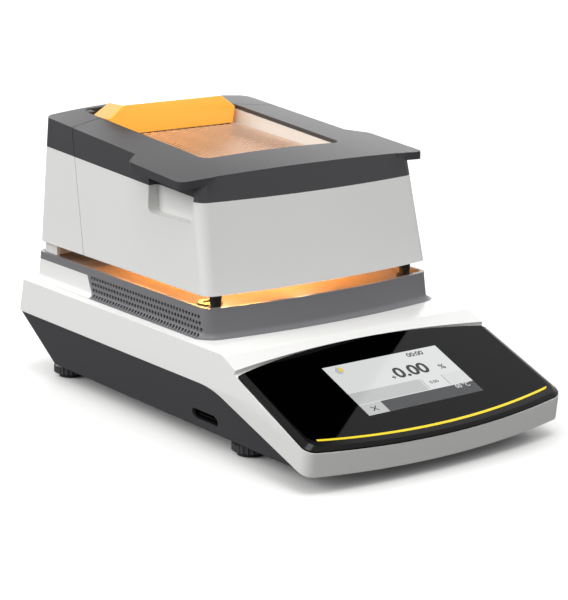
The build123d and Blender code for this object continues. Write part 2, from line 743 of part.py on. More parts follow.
def lip_plan():
    """Both lips seen from above: swept out at the rear, rounded at the front corners."""
    front = LID_REF_FRONT - 2.0
    rear = LIP_REAR + LIP_SWEEP + 2
    root = LID_REF_HALF - 12
    points = [(root, rear), (LID_REF_HALF - 1, rear), (LIP_HALF, LIP_REAR - 3), (LIP_HALF, front - 3.5),
              (root, front - 6)]
    return closed(FilletPolyline(*points, radius=LIP_CORNER / 2), Line(points[-1], points[0]))


def lips():
    """Lips that stand out over the finger pockets."""
    slab = Pos(0, 0, -LIP_THICK) * crown_above() - crown_above()
    one = extrude(lip_plan(), amount=BIG) & slab
    return one + mirror(one, about=Plane.YZ)


def pockets():
    """Finger pockets under the lips, one in each side."""
    pocket = block(LID_HALF - POCKET_DEPTH, BIG, POCKET_FRONT, POCKET_REAR, POCKET_FLOOR_Z, BIG)
    pocket = fillet(pocket.edges().filter_by(Axis.X).group_by(Axis.Z)[0], POCKET_ROUND)
    pocket -= Pos(0, 0, -LIP_THICK) * crown_above()
    return pocket + mirror(pocket, about=Plane.YZ)


def pocket_cups():
    """Walls round the finger pockets, inside the lid."""
    y0, y1 = POCKET_FRONT - CUP_WALL, POCKET_REAR + CUP_WALL
    cup = block(LID_HALF - POCKET_DEPTH - LID_WALL, LID_HALF, y0, y1, POCKET_FLOOR_Z - LID_WALL, BIG)
    return cup + mirror(cup, about=Plane.YZ)


def lid_shell():
    """White lid shell with the finger pockets."""
    outer = lid_form()
    shell = outer - lid_form(LID_WALL, LID_Z - 1) + (pocket_cups() & outer)
    return (shell - pockets() - behind_seam(-SEAM_GAP / 2)) & below_band()


def lid_cover():
    """Dark lid cover: crowned top, lips and the well's opening."""
    outer = lid_form() + lips()
    cover = outer - lid_form(LID_WALL, LID_Z - 1, COVER_THICK) + (pocket_cups() & lid_form())
    cover -= pockets()
    cover -= well_cut(BAND_Z0 - 20, BIG)
    cover -= below_band()
    cover -= behind_seam(-SEAM_GAP / 2)
    return largest(cover)


def largest(shape):
    """The biggest solid of a shape."""
    return sorted(shape.solids(), key=lambda solid: solid.volume)[-1]


def rear_housing():
    """White fixed block behind the seam, carried by a neck that stands on the chamber floor."""
    shell = lid_form() - lid_form(LID_WALL, LID_Z - 1)
    neck = lid_form(LID_WALL, DECK_Z) - lid_form(2 * LID_WALL, DECK_Z - 1)
    neck &= block(-BIG, BIG, NECK_Y, BIG, 0, LID_Z + 12)
    neck &= extrude(face_of(inset(COLLAR, COLLAR_WALL + TOUCH), 0), amount=BIG)
    shell = ((shell + neck) & below_band() & behind_seam(SEAM_GAP / 2))
    for x in range(-24, 25, 6):
        shell -= block(x - 1.5, x + 1.5, fan_y() + FAN_DEPTH - 1, BIG, FAN_Z - 18, FAN_Z + 18)
    return shell


def rear_cover():
    """Dark cover of the fixed block, with a notch for the amber window and the hinge."""
    cover = lid_form() - lid_form(LID_WALL, LID_Z - 1, COVER_THICK)
    cover -= well_cut(BAND_Z0 - 20, BIG)
    return (cover - below_band()) & behind_seam(SEAM_GAP / 2)


def on_screen(width, y0, y1, low, high):
    """A plate parallel to the well's screen."""
    y = (y0 + y1) / 2
    plate = Box(width, (y1 - y0), high - low)
    return Pos(0, y, screen_z(y)) * Rot(SCREEN_SLOPE, 0, 0) * Pos(0, 0, (low + high) / 2) * plate


def vent_screen():
    """Perforated steel screen in the well, with coarse slots for its fine holes."""
    by = LINER_WALL + TOUCH
    plate = on_screen(2 * (WELL_HALF - by), WELL_FRONT + by, WINDOW_FRONT - TOUCH, 0, SCREEN_THICK)
    plate &= well_cut(0, BIG, by)
    for k in range(SCREEN_SLOTS):
        x = (k - (SCREEN_SLOTS - 1) / 2) * SCREEN_PITCH
        plate -= Pos(x, 0, 0) * on_screen(1.6, WELL_FRONT + 8, WINDOW_FRONT - 4, -2, 3)
    return plate


def well_liner():
    """Pale frame that lines the well from the cover down to the screen."""
    by = LINER_WALL + 0.2
    tube = well_cut(SCREEN_Z0 - 6, BIG, 0.2) - well_cut(SCREEN_Z0 - 8, BIG, by)
    tube &= block(-BIG, BIG, -BIG, WINDOW_FRONT + 6, 0, BIG)
    tube -= Pos(0, 0, -COVER_THICK) * crown_above()
    foot = well_cut(SCREEN_Z0 - 6, BIG, by - 0.2) - well_cut(SCREEN_Z0 - 8, BIG, by + 4)
    foot &= on_screen(BIG, WELL_FRONT - 5, WINDOW_FRONT + 6, -1.2, 0)
    return (tube & on_screen(BIG, -BIG / 4, BIG / 2, -1.2, 40)) + foot


def window_frame():
    """Frame under the amber window; its rear end is the lid's hinge tongue with two knuckles."""
    z0 = screen_z(WINDOW_FRONT) + SCREEN_THICK
    rails = []
    for side in (-1, 1):
        rails.append(block(side * 49 - 3, side * 49 + 3, WINDOW_FRONT + 3, WINDOW_REAR - 1, z0 + 0.5, z0 + 7))
    bar = block(-52, 52, WINDOW_REAR - 5, WINDOW_REAR - 1, z0 + 0.5, HINGE_Z + 1)
    frame = rails[0] + rails[1] + bar
    for side in (-1, 1):
        x0 = side * KNUCKLE_X
        half = KNUCKLE_W / 2
        frame += block(x0 - half, x0 + half, WINDOW_REAR - 5, HINGE_Y, HINGE_Z - 3.5, HINGE_Z + 1)
        frame += Pos(x0, HINGE_Y, HINGE_Z) * Rot(0, 90, 0) * Cylinder(KNUCKLE_R, KNUCKLE_W)
    return frame - Pos(0, HINGE_Y, HINGE_Z) * Rot(0, 90, 0) * Cylinder(PIN_R + PIN_CLEARANCE, BIG)


def hinge_bracket():
    """Steel bracket inside the rear cover, with the fixed knuckles."""
    low = HINGE_Z - 22
    plate = block(-56, 56, HINGE_Y + 1, HINGE_Y + 3, low, HINGE_Z - KNUCKLE_R - 0.6)
    foot = block(-56, 56, HINGE_Y - 14, HINGE_Y + 3, low - 2, low)
    bracket = plate + foot
    for x0 in (-KNUCKLE_X - KNUCKLE_W - KNUCKLE_GAP, 0, KNUCKLE_X + KNUCKLE_W + KNUCKLE_GAP):
        w = KNUCKLE_W if x0 else 2 * (KNUCKLE_X - KNUCKLE_W / 2 - KNUCKLE_GAP)
        bracket += block(x0 - w / 2, x0 + w / 2, HINGE_Y + 0.5, HINGE_Y + 3, HINGE_Z - 6, HINGE_Z)
        bracket += Pos(x0, HINGE_Y, HINGE_Z) * Rot(0, 90, 0) * Cylinder(KNUCKLE_R, w)
    return bracket - Pos(0, HINGE_Y, HINGE_Z) * Rot(0, 90, 0) * Cylinder(PIN_R, BIG)


def hinge_pin():
    length = 2 * (KNUCKLE_X + 1.5 * KNUCKLE_W + KNUCKLE_GAP)
    return Pos(0, HINGE_Y, HINGE_Z) * Rot(0, 90, 0) * Cylinder(PIN_R, length)


def window_hood(by):
    """The amber window's form, moved inwards by a wall and open below."""
    low = screen_z(WINDOW_FRONT) + SCREEN_THICK + TOUCH - (1 if by else 0)
    levels = [(WINDOW_FOOT_HALF - 2, 0.0, 0.0, low),
              (WINDOW_FOOT_HALF, 0.0, 0.0, top_z(WINDOW_FRONT) + 1.5),
              (WINDOW_TOP_HALF, 0.0 if by else 0.8, 3.5, WINDOW_TOP_Z - by)]
    faces = []
    for half, front_in, rear_in, z in levels:
        y0, y1 = WINDOW_FRONT + front_in + by, WINDOW_REAR - rear_in - by
        face = fillet(Rectangle(2 * (half - by), y1 - y0).vertices(), 2.2)
        faces.append(Pos(0, (y0 + y1) / 2, z) * face)
    return loft(faces, ruled=True)


def amber_window():
    """Amber window: a hood with a flat top and slanted ends, open to the front edge of the screen."""
    cap = window_hood(0) - window_hood(WINDOW_WALL)
    return cap - block(-BIG, BIG, WINDOW_REAR - 6, BIG, 0, HINGE_Z + 1.3)


def lid_liner():
    """Sheet-metal box inside the lid, open below over the pan."""
    rear = SEAM_FOOT_Y - 8
    def walls(by, z0, z1):
        return block(-LINER_HALF + by, LINER_HALF - by, LINER_FRONT + by, rear - by, z0, z1)
    box = walls(0, LID_Z + 2, REFLECTOR_Z + LINER_SHEET) - walls(LINER_SHEET, 0, REFLECTOR_Z)
    vent = REFLECTOR_HALF - 6
    return box - block(-vent, vent, PAN_Y - vent, rear - 8, REFLECTOR_Z - 1, BIG)


def heat_reflector():
    """Folded reflector over the heater tubes."""
    y0, y1 = PAN_Y - REFLECTOR_HALF, SEAM_FOOT_Y - 12
    h = REFLECTOR_HALF
    rise = 10.0
    foot, roof = REFLECTOR_Z - 18, REFLECTOR_Z - 2
    right = [(h, foot), (h - 1.5, foot), (h - rise - 0.8, roof - 1.2)]
    left = [(-x, z) for x, z in reversed(right)]
    profile = Polyline((-h + rise, roof), (h - rise, roof), *right, *left, (-h + rise, roof))
    sheet = extrude(Plane.XZ * make_face(profile.edges()), amount=-(y1 - y0))
    sheet = Pos(0, y0, 0) * sheet
    for x in range(-40, 41, 10):
        sheet -= block(x - 1.5, x + 1.5, y0 + 14, y1 - 14, REFLECTOR_Z - 5, BIG)
    tabs = block(-h + rise, h - rise, y0 + 2, y0 + 8, REFLECTOR_Z - 2, REFLECTOR_Z)
    tabs += block(-h + rise, h - rise, y1 - 8, y1 - 2, REFLECTOR_Z - 2, REFLECTOR_Z)
    return sheet + tabs


def heater_tubes():
    """Two straight quartz heater tubes."""
    tube = Pos(TUBE_SPREAD, HEAT_Y, TUBE_Z) * Rot(90, 0, 0) * Cylinder(TUBE_R, TUBE_LENGTH - 18)
    return mirrored(tube)


def lamp_holders():
    """Ceramic holders at the tubes' ends, hung from the reflector."""
    tube = Rot(90, 0, 0) * Cylinder(TUBE_R, TUBE_LENGTH - 18)
    holders = []
    for side in (-1, 1):
        for end in (-1, 1):
            y = HEAT_Y + end * (TUBE_LENGTH / 2 - 9)
            body = Pos(side * TUBE_SPREAD, y, TUBE_Z) * Box(14, 8, 14)
            stem = Box(6, 6, REFLECTOR_Z - 3.4 - TUBE_Z)
            body += Pos(side * TUBE_SPREAD, y, (TUBE_Z + REFLECTOR_Z) / 2) * stem
            body &= block(-BIG, BIG, -BIG, BIG, 0, REFLECTOR_Z - 3.3)
            holders.append(body - Pos(side * TUBE_SPREAD, HEAT_Y, TUBE_Z) * tube)
    return holders


def guard_grid():
    """Wire grid under the heater, held in the walls of the liner."""
    y0, y1 = LINER_FRONT + LINER_SHEET + TOUCH, SEAM_FOOT_Y - 8 - LINER_SHEET - TOUCH
    x = LINER_HALF - LINER_SHEET - TOUCH
    grid = None
    for k in range(GRID_WIRES):
        wy = y0 + (y1 - y0) * (k + 1) / (GRID_WIRES + 1)
        wire = Pos(0, wy, GRID_Z) * Rot(0, 90, 0) * extrude(RegularPolygon(WIRE_R, 6), amount=x, both=True)
        grid = wire if grid is None else grid + wire
    rod = Rot(90, 0, 0) * extrude(RegularPolygon(WIRE_R, 6), amount=(y1 - y0) / 2, both=True)
    return grid + [Pos(side * 40, (y0 + y1) / 2, GRID_Z) * rod for side in (-1, 1)]


def temperature_probe():
    """Probe that hangs from the liner beside the pan."""
    x = LINER_HALF - 10
    body = Pos(x, PAN_Y, 112) * Cylinder(1.6, REFLECTOR_Z - 112, align=UP)
    return body + Pos(x, PAN_Y, REFLECTOR_Z - 8) * Cylinder(4, 8, align=UP)


def rear_wall_y(x, z):
    """Where the inside of the lid form's rear wall lies."""
    o = lid_at(z, LID_WALL)
    return o.rear + o.bow_rear * (1 - (x / o.half_rear) ** 2)


def fan_y():
    """The fan's front face: its rear corners seat on the inside of the rear wall."""
    return rear_wall_y(FAN_SIZE / 2, FAN_Z + FAN_SIZE / 2) - TOUCH - FAN_DEPTH


def fan_frame():
    """Square fan frame on the rear wall of the fixed block."""
    s = FAN_SIZE / 2
    frame = block(-s, s, fan_y(), fan_y() + FAN_DEPTH, FAN_Z - s, FAN_Z + s)
    frame -= Pos(0, fan_y(), FAN_Z) * Rot(90, 0, 0) * Cylinder(s - 2, BIG)
    hub = Pos(0, fan_y() + HUB_T / 2, FAN_Z) * Rot(90, 0, 0) * Cylinder(9, HUB_T)
    for turn in (45, 135):
        hub += Pos(0, fan_y() + 1, FAN_Z) * Rot(0, turn, 0) * Box(2 * s, 2, 3)
    return frame + (hub & block(-s, s, fan_y(), fan_y() + HUB_T, FAN_Z - s, FAN_Z + s))


def fan_rotor():
    """Fan rotor with seven blades."""
    hub = Rot(90, 0, 0) * Cylinder(8, ROTOR_T)
    for k in range(7):
        blade = Pos(14, 0, 0) * Rot(35, 0, 0) * Box(15, 1.2, 8)
        hub += Rot(0, k * 360 / 7, 0) * blade
    return Pos(0, fan_y() + HUB_T + TOUCH + ROTOR_T / 2, FAN_Z) * hub


def tray_screws():
    """Screws that hold tray and cover together, from below."""
    return [Pos(x, y, TRAY_FLOOR_Z) * Cylinder(SCREW_R, SCREW_H, align=UP) for x, y in SCREWS]


def foot_inserts():
    """Threaded brass inserts in the foot bosses."""
    height = STUD_TOP_Z - TRAY_FLOOR_Z - 2
    ring = Cylinder(INSERT_R, height, align=UP) - Cylinder(STUD_R + 0.1, BIG, align=MID)
    return [Pos(x, y, TRAY_FLOOR_Z + 1) * ring for x, y in FEET]


def thumbwheel(x, y):
    """Knurled wheel that turns in place under the foot boss."""
    wheel = Cylinder(WHEEL_R - 0.7, WHEEL_H, align=UP)
    tooth = Pos(WHEEL_R - 0.9, 0, WHEEL_H / 2) * Rot(0, 0, 45) * Box(1.3, 1.3, WHEEL_H)
    wheel = wheel + [Rot(0, 0, 360 * k / WHEEL_RIBS) * tooth for k in range(WHEEL_RIBS)]
    return Pos(x, y, WHEEL_Z) * (wheel - Cylinder(STUD_R + 0.1, BIG, align=MID))


def foot_pad(x, y):
    """Rubber-soled pad on its threaded stud."""
    pad = Cone(PAD_R, PAD_R - 1, PAD_H, align=UP) + Cylinder(STUD_R, STUD_TOP_Z - 1, align=UP)
    return Pos(x, y, 0) * pad


def write(name, shape):
    """Writes one node, as one solid or a group of solids."""
    pieces = shape if isinstance(shape, list) else [shape]
    export_step(Compound([solid for piece in pieces for solid in piece.solids()]), f"parts/{name}.step")


os.makedirs("parts", exist_ok=True)
NODES = [
    base_cover, base_tray, display_bezel, display_glass, accent_strip, lcd_module, display_board,
    main_board, power_board, socket_panel, power_inlet, rear_port, side_port, chamber_collar,
    chamber_floor, draft_ring, level_vial, weigh_cell, cell_bracket, bumper_seats, rear_housing,
    rear_cover, hinge_bracket, hinge_pin, fan_frame, fan_rotor, tray_screws, foot_inserts, pan_carrier,
    pan_holder, sample_pan, lid_shell, lid_cover, well_liner, vent_screen, amber_window, window_frame,
    heat_reflector, heater_tubes, lamp_holders, guard_grid, temperature_probe, lid_bumpers, lid_liner,
]

for make in NODES:
    write(make.__name__, make())
for name, (x, y) in zip(FOOT_NAMES, FEET):
    write(f"thumbwheel_{name}", thumbwheel(x, y))
    write(f"foot_pad_{name}", foot_pad(x, y))
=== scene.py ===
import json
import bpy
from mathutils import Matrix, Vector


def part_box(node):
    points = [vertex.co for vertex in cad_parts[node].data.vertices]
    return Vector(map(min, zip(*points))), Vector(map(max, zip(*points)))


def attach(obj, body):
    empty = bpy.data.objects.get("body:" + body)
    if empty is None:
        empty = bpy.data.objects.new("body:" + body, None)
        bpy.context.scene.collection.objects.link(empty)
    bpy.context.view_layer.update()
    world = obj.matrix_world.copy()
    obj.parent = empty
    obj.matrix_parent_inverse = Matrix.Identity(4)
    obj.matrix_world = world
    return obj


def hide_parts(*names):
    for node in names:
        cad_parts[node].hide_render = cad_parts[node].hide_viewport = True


bl_info = {
    "name": "Moisture analyzer",
    "version": (1, 0, 0),
    "blender": (4, 5, 0),
    "location": "View3D > Sidebar > Analyzer",
    "description": "Dresses the packed CAD model of a bench moisture analyzer with finishes and fine pieces",
    "category": "Object",
}

from math import cos, radians, sin, tan

import bmesh
import bpy
from mathutils import Matrix, Vector

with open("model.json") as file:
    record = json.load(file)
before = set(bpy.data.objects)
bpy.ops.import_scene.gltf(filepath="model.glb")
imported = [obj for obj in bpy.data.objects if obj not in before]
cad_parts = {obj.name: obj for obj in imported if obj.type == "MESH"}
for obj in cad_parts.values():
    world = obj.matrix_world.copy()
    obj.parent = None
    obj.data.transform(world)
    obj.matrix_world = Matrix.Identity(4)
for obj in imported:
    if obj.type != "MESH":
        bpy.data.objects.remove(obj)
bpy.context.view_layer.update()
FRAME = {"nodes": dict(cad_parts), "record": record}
NODES = FRAME["nodes"]
SLOTS = {part["node"]: part["material_slot"] for part in FRAME["record"]["subparts"]}

MM = 0.001

# The slope that the display lies on, and the display's middle, in millimetres as the CAD has them
SLOPE = radians(21.6)
PANEL_TOP_Y = -102.2
PANEL_TOP_Z = 62.9
DISPLAY_X = 2.0
DISPLAY_DOWN = 38.3

# How far the lit layers lie over the glass
PRINT_LIFT = 0.06
LAYER_STEP = 0.5 * PRINT_LIFT
FIGURE_LIFT = 3 * PRINT_LIFT

# Height of a figure in Blender's own font, as a share of its size
FIGURE_HEIGHT = 0.56

# The crowned top of the lid
TOP_SLOPE = radians(4.83)
TOP_Z0 = 181.5
CROWN = 3.0
LID_REF_HALF = 91.5

# The perforated sheet in the lid's well
WELL_HALF = 60.0
SHEET_Z0 = 173.8
SHEET_SLOPE = radians(3.3)
SHEET_THICK = 0.4
HOLE_SHARE = 0.36

# The amber window, from the cover to its top
AMBER_LOW, AMBER_HIGH = 184.0, 203.0

# The caps beside the hinge
CAP_INNER, CAP_OUTER = 52.8, 59.7
CAP_FRONT, CAP_REAR = 159.4, 167.2
CAP_DROP, CAP_THICK = 0.4, 1.4

# The CAD pieces that get rounded edges: body and share of the edge radius
ROUNDED = {
    "base_cover": ("base", 1.0),
    "base_tray": ("base", 0.6),
    "lid_shell": ("lid", 1.0),
    "lid_cover": ("lid", 1.0),
    "rear_housing": ("base", 0.8),
    "rear_cover": ("base", 0.8),
    "window_frame": ("lid", 0.4),
    "amber_window": ("lid", 1.8),
}

# The lamps' lights, in millimetres, and small ones for where the glow is brightest under the lid:
# x, y, and share of a lamp's power
HOT_SPOTS = ((-70, -28, 0.10), (-6, -36, 0.05))
SPOT_Z = 104.0
LAMP_RADIUS = 6.0
LAMP_DROP = 8.0

# Broad lights: side from the front towards the left, height and spread in degrees, and strength
SKY_LIGHTS = {
    "key_light": (52, 65, 35, 0.25),
    "left_light": (110, 28, 40, 1.35),
    "front_high_light": (20, 78, 20, 0.45),
    "rear_light": (216, 20, 30, 0.7),
}

# A card that the left half of the display glass mirrors, in metres
FLAG_CORNERS = ((1.289, 0.694, 0.637), (0.503, 0.083, 1.622), (-0.088, 0.890, 1.651), (0.698, 1.500, 0.666))

# The camera's place in metres, and its right, up and back directions
EYE = (-0.83664, -1.12836, 0.42850)
EYE_AXES = ((0.80213, -0.59713, 0.00420), (0.14218, 0.19782, 0.96987), (-0.57997, -0.77737, 0.24358))

# The floor: half its side in metres and its own faint light; the dome's light at the horizon, as a share
FLOOR_HALF = 4.0
FLOOR_GLOW = 0.02
HORIZON_SHARE = 0.15


# Colours

def linear(code):
    """One sRGB hex colour as linear RGBA."""
    values = [int(code[i:i + 2], 16) / 255 for i in (1, 3, 5)]
    return tuple(v / 12.92 if v <= 0.04045 else ((v + 0.055) / 1.055) ** 2.4 for v in values) + (1.0,)


def colour(name, code, text):
    """A colour that a user may change."""
    return bpy.props.FloatVectorProperty(name=name, description=text, subtype="COLOR", size=4, min=0, max=1,
                                         default=linear(code))


# Node trees

def add(tree, kind, *links, **settings):
    """Adds one node, gives its settings or socket values, and links outputs to its named inputs."""
    node = tree.nodes.new(kind)
    for name, value in settings.items():
        setattr(node, name, value)
    for socket, value in links:
        target = node.inputs[socket]
        if isinstance(value, bpy.types.NodeSocket):
            tree.links.new(value, target)
        else:
            target.default_value = value
    return node


def blend(tree, share, low, high):
    """The mix of two colours by a share, each of the three a value or an output."""
    mix = add(tree, "ShaderNodeMix", data_type="RGBA")
    for socket, value in ((0, share), (6, low), (7, high)):
        if isinstance(value, bpy.types.NodeSocket):
            tree.links.new(value, mix.inputs[socket])
        else:
            mix.inputs[socket].default_value = value
    return mix.outputs[2]


def new_material(name):
    """An empty material and its node tree."""
    material = bpy.data.materials.get(name) or bpy.data.materials.new(name)
    material.use_nodes = True
    material.node_tree.nodes.clear()
    return material, material.node_tree


def grain_bump(tree, pitch, depth):
    """Fine raised grain, its pitch and depth in millimetres."""
    place = add(tree, "ShaderNodeTexCoord")
    noise = add(tree, "ShaderNodeTexNoise", ("Vector", place.outputs["Object"]), ("Scale", 1 / (pitch * MM)),
                ("Detail", 2.0))
    bump = add(tree, "ShaderNodeBump", ("Height", noise.outputs["Fac"]), ("Distance", depth * MM),
               ("Strength", 1.0))
    return place, noise, bump


def moulded(name, base, roughness, pitch=0.9, depth=0.02, tone=0.03, coat=0.0, rough_spread=0.06, ior=1.52):
    """Injection moulded plastic: even colour, fine spark-eroded grain and a soft sheen."""
    material, tree = new_material(name)
    place, noise, bump = grain_bump(tree, pitch, depth)
    broad = add(tree, "ShaderNodeTexNoise", ("Vector", place.outputs["Object"]), ("Scale", 1 / (60 * MM)),
                ("Detail", 3.0))
    darker = tuple(c * (1 - tone) for c in base[:3]) + (1.0,)
    body = blend(tree, broad.outputs["Fac"], base, darker)
    rough = add(tree, "ShaderNodeMapRange", ("Value", noise.outputs["Fac"]),
                ("To Min", roughness - rough_spread), ("To Max", roughness + rough_spread))
    shader = add(tree, "ShaderNodeBsdfPrincipled", ("Base Color", body), ("Roughness", rough.outputs[0]),
                 ("Normal", bump.outputs[0]), ("IOR", ior), ("Coat Weight", coat), ("Coat Roughness", 0.08))
    add(tree, "ShaderNodeOutputMaterial", ("Surface", shader.outputs[0]))
    return material


def worked_metal(name, base, roughness, pitch, stretch=(1, 1, 1), depth=0.004):
    """Metal with fine marks from rolling, brushing or turning; stretch lengthens them along an axis."""
    material, tree = new_material(name)
    place = add(tree, "ShaderNodeTexCoord")
    scaled = add(tree, "ShaderNodeMapping", ("Vector", place.outputs["Object"]), ("Scale", stretch))
    noise = add(tree, "ShaderNodeTexNoise", ("Vector", scaled.outputs[0]), ("Scale", 1 / (pitch * MM)),
                ("Detail", 4.0))
    rough = add(tree, "ShaderNodeMapRange", ("Value", noise.outputs["Fac"]), ("To Min", roughness * 0.7),
                ("To Max", roughness * 1.3))
    bump = add(tree, "ShaderNodeBump", ("Height", noise.outputs["Fac"]), ("Distance", depth * MM),
               ("Strength", 0.6))
    shader = add(tree, "ShaderNodeBsdfPrincipled", ("Base Color", base), ("Metallic", 1.0),
                 ("Roughness", rough.outputs[0]), ("Normal", bump.outputs[0]))
    add(tree, "ShaderNodeOutputMaterial", ("Surface", shader.outputs[0]))
    return material


def lit(name, base, emit, strength, roughness=0.4):
    """A surface that also shines, such as a lit display or a hot lamp."""
    material, tree = new_material(name)
    place = add(tree, "ShaderNodeTexCoord")
    noise = add(tree, "ShaderNodeTexNoise", ("Vector", place.outputs["Object"]), ("Scale", 400.0))
    rough = add(tree, "ShaderNodeMapRange", ("Value", noise.outputs["Fac"]), ("To Min", roughness * 0.9),
                ("To Max", roughness * 1.1))
    shader = add(tree, "ShaderNodeBsdfPrincipled", ("Base Color", base), ("Roughness", rough.outputs[0]),
                 ("Emission Color", emit), ("Emission Strength", strength))
    add(tree, "ShaderNodeOutputMaterial", ("Surface", shader.outputs[0]))
    return material


# Settings that a user would change

class HousingSettings(bpy.types.PropertyGroup):
    """Colours of the moulded housings and the rounding of their edges."""

    white: colour("White housing", "#ececea", "Light housings of the base and the lid")
    dark: colour("Dark tray", "#464649", "Lower tray of the base")
    charcoal: colour("Charcoal cover", "#37373a", "Cover of the lid")
    grey: colour("Grey collar", "#757578", "Collar round the chamber")
    edge: bpy.props.FloatProperty(name="Edge rounding", description="Radius of the moulded edges",
                                  default=0.9 * MM, min=0, max=3 * MM, unit="LENGTH", subtype="DISTANCE")


class DisplaySettings(bpy.types.PropertyGroup):
    """The lit display and the line along its glass."""

    width: bpy.props.FloatProperty(name="Lit width", description="Width of the display's lit area",
                                   default=98.6 * MM, unit="LENGTH", subtype="DISTANCE")
    height: bpy.props.FloatProperty(name="Lit height", description="Height of the display's lit area",
                                    default=54.4 * MM, unit="LENGTH", subtype="DISTANCE")
    screen: colour("Screen", "#e9eceb", "Background of the lit display")
    line: colour("Line", "#ecd000", "Line along the front of the glass")


class HeaterSettings(bpy.types.PropertyGroup):
    """The glow of the heater and the amber window over it."""

    glow: colour("Glow", "#ffa858", "Colour of the hot lamps' light")
    power: bpy.props.FloatProperty(name="Power", description="Light of each lamp in watts",
                                   default=0.32, min=0)
    amber: colour("Amber window", "#ffd04a", "Tint of the window")
    hole_pitch: bpy.props.FloatProperty(name="Hole pitch", description="Spacing of the well screen's holes",
                                        default=3.8 * MM, unit="LENGTH", subtype="DISTANCE")


class StageSettings(bpy.types.PropertyGroup):
    """Studio light and camera."""

    key: bpy.props.FloatProperty(name="Broad lights", description="Factor on every broad light's strength",
                                 default=1.0, min=0)
    fill: bpy.props.FloatProperty(name="Fill", description="Strength of the dome's light, from overhead",
                                  default=1.06, min=0)
    lens: bpy.props.FloatProperty(name="Lens", description="Focal length of the camera in millimetres",
                                  default=121.18)


# Meshes

def link(name, mesh, materials, body, replaces=()):
    """Puts a new piece on its body, with its finish and the CAD nodes it stands for."""
    obj = bpy.data.objects.new(name, mesh)
    bpy.context.scene.collection.objects.link(obj)
    for material in materials:
        mesh.materials.append(material)
    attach(obj, body)
    if replaces:
        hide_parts(*replaces)
    return obj


def smooth(mesh, angle=30):
    """Smooth shading, with edges sharper than the angle kept crisp."""
    mesh.shade_smooth()
    mesh.set_sharp_from_angle(angle=radians(angle))


def rounded(node, body, width, segments=2, sharp=28):
    """A copy of a CAD piece with the rounded edges of the real moulding, in place of the node."""
    work = bmesh.new()
    work.from_mesh(NODES[node].data)
    bmesh.ops.remove_doubles(work, verts=work.verts, dist=2e-6)
    bmesh.ops.dissolve_limit(work, angle_limit=radians(0.2), verts=work.verts, edges=work.edges)
    edges = [e for e in work.edges if e.is_manifold and e.calc_face_angle(0) > radians(sharp)]
    bmesh.ops.bevel(work, geom=edges, offset=width, offset_type="OFFSET", segments=segments, profile=0.6,
                    affect="EDGES", clamp_overlap=True)
    bmesh.ops.recalc_face_normals(work, faces=work.faces)
    mesh = bpy.data.meshes.new(node + "_rounded")
    work.to_mesh(mesh)
    work.free()
    smooth(mesh, 40)
    piece = link(node + "_rounded", mesh, [NODES[node].data.materials[0]], body, [node])
    even = piece.modifiers.new("flat faces", "WEIGHTED_NORMAL")
    even.keep_sharp = True
    return piece


def slope_point(u, v, lift):
    """A point on the glass: u to the right of the display's middle, v up the slope, in millimetres."""
    down = DISPLAY_DOWN - v
    y = PANEL_TOP_Y - down * cos(SLOPE) - lift * sin(SLOPE)
    z = PANEL_TOP_Z - down * sin(SLOPE) + lift * cos(SLOPE)
    return Vector((DISPLAY_X + u, y, z)) * MM


def crown_z(x, y):
    """Height of the lid's crowned top, in millimetres."""
    return TOP_Z0 + y * tan(TOP_SLOPE) + CROWN * (1 - (x / LID_REF_HALF) ** 2)


# Operators: finishes of the CAD pieces

